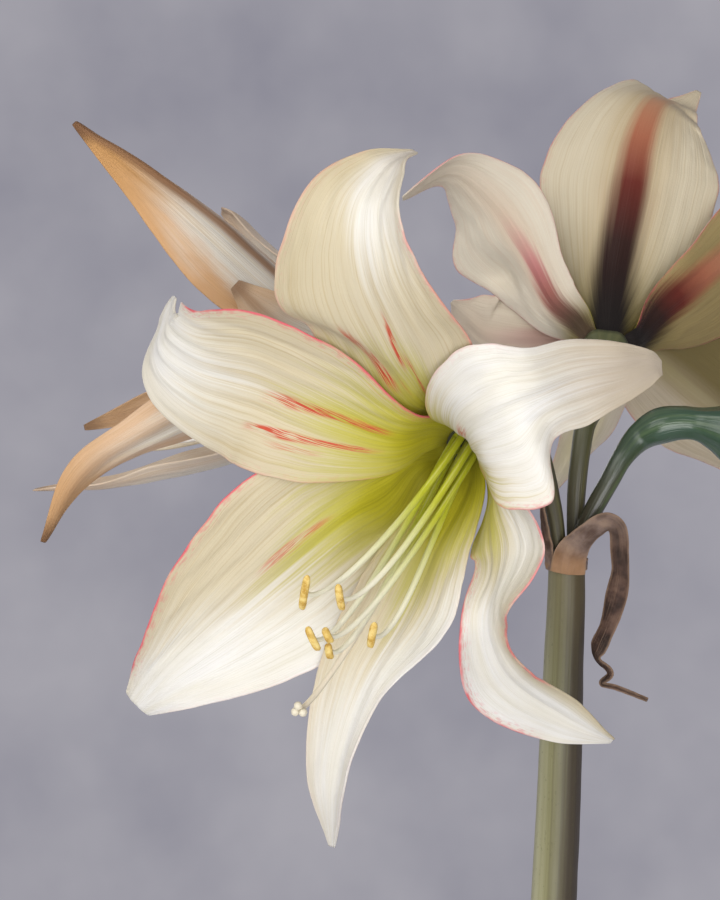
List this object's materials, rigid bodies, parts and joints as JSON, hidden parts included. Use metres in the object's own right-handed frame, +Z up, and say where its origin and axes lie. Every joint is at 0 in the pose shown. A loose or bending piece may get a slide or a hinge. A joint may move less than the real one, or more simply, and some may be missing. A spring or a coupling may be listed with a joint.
{
  "type": "potted amaryllis",
  "caption": "Potted amaryllis: a bulb in a round tapered pot, arching strap leaves and one tall stalk with an umbel of large six-petalled trumpet flowers.",
  "frame": {"origin": "centre of the pot's base, on the surface that the pot stands on", "axes": "+Z up along the stalk, +X to the right of the front view, +Y away from the front view"},
  "size_m": [0.3179, 0.2688, 0.72],
  "materials": {
    "pot": "unglazed terracotta, matt",
    "soil": "damp potting mix, matt and crumbly",
    "bulb": "dry papery skin, satin",
    "scape": "smooth waxy stalk, satin",
    "leaf": "smooth strap leaf, satin",
    "spathe": "withered papery sheath, matt",
    "flower_stalk": "smooth flower stalk and tube, glossy green",
    "tepal": "soft petal, greenish cream with pink-red edges, satin",
    "tepal_fading": "fading petal, cream turning tan and orange, matt",
    "stamens": "pale green filaments with yellow anthers, matt",
    "pistil": "pale style and stigma, matt"
  },
  "bodies": {
    "root": {"pot": "pot", "soil": "soil", "bulb": "bulb", "scape": "scape", "spathe": "spathe", "leaf_left_long": "leaf", "leaf_right_long": "leaf", "leaf_left_short": "leaf", "leaf_right_short": "leaf", "bloom_front_stalk": "flower_stalk", "bloom_front_tepal_1": "tepal", "bloom_front_tepal_2": "tepal", "bloom_front_tepal_3": "tepal", "bloom_front_tepal_4": "tepal", "bloom_front_tepal_5": "tepal", "bloom_front_tepal_6": "tepal", "bloom_front_stamens": "stamens", "bloom_front_pistil": "pistil", "bloom_left_stalk": "flower_stalk", "bloom_left_tepal_1": "tepal_fading", "bloom_left_tepal_2": "tepal_fading", "bloom_left_tepal_3": "tepal_fading", "bloom_left_tepal_4": "tepal_fading", "bloom_left_tepal_5": "tepal_fading", "bloom_left_tepal_6": "tepal_fading", "bloom_left_stamens": "stamens", "bloom_left_pistil": "pistil", "bloom_back_stalk": "flower_stalk", "bloom_back_tepal_1": "tepal", "bloom_back_tepal_2": "tepal", "bloom_back_tepal_3": "tepal", "bloom_back_tepal_4": "tepal", "bloom_back_tepal_5": "tepal", "bloom_back_tepal_6": "tepal", "bloom_back_stamens": "stamens", "bloom_back_pistil": "pistil", "bloom_right_stalk": "flower_stalk", "bloom_right_tepal_1": "tepal", "bloom_right_tepal_2": "tepal", "bloom_right_tepal_3": "tepal", "bloom_right_tepal_4": "tepal", "bloom_right_tepal_5": "tepal", "bloom_right_tepal_6": "tepal", "bloom_right_stamens": "stamens", "bloom_right_pistil": "pistil"}
  },
  "joints": []
}
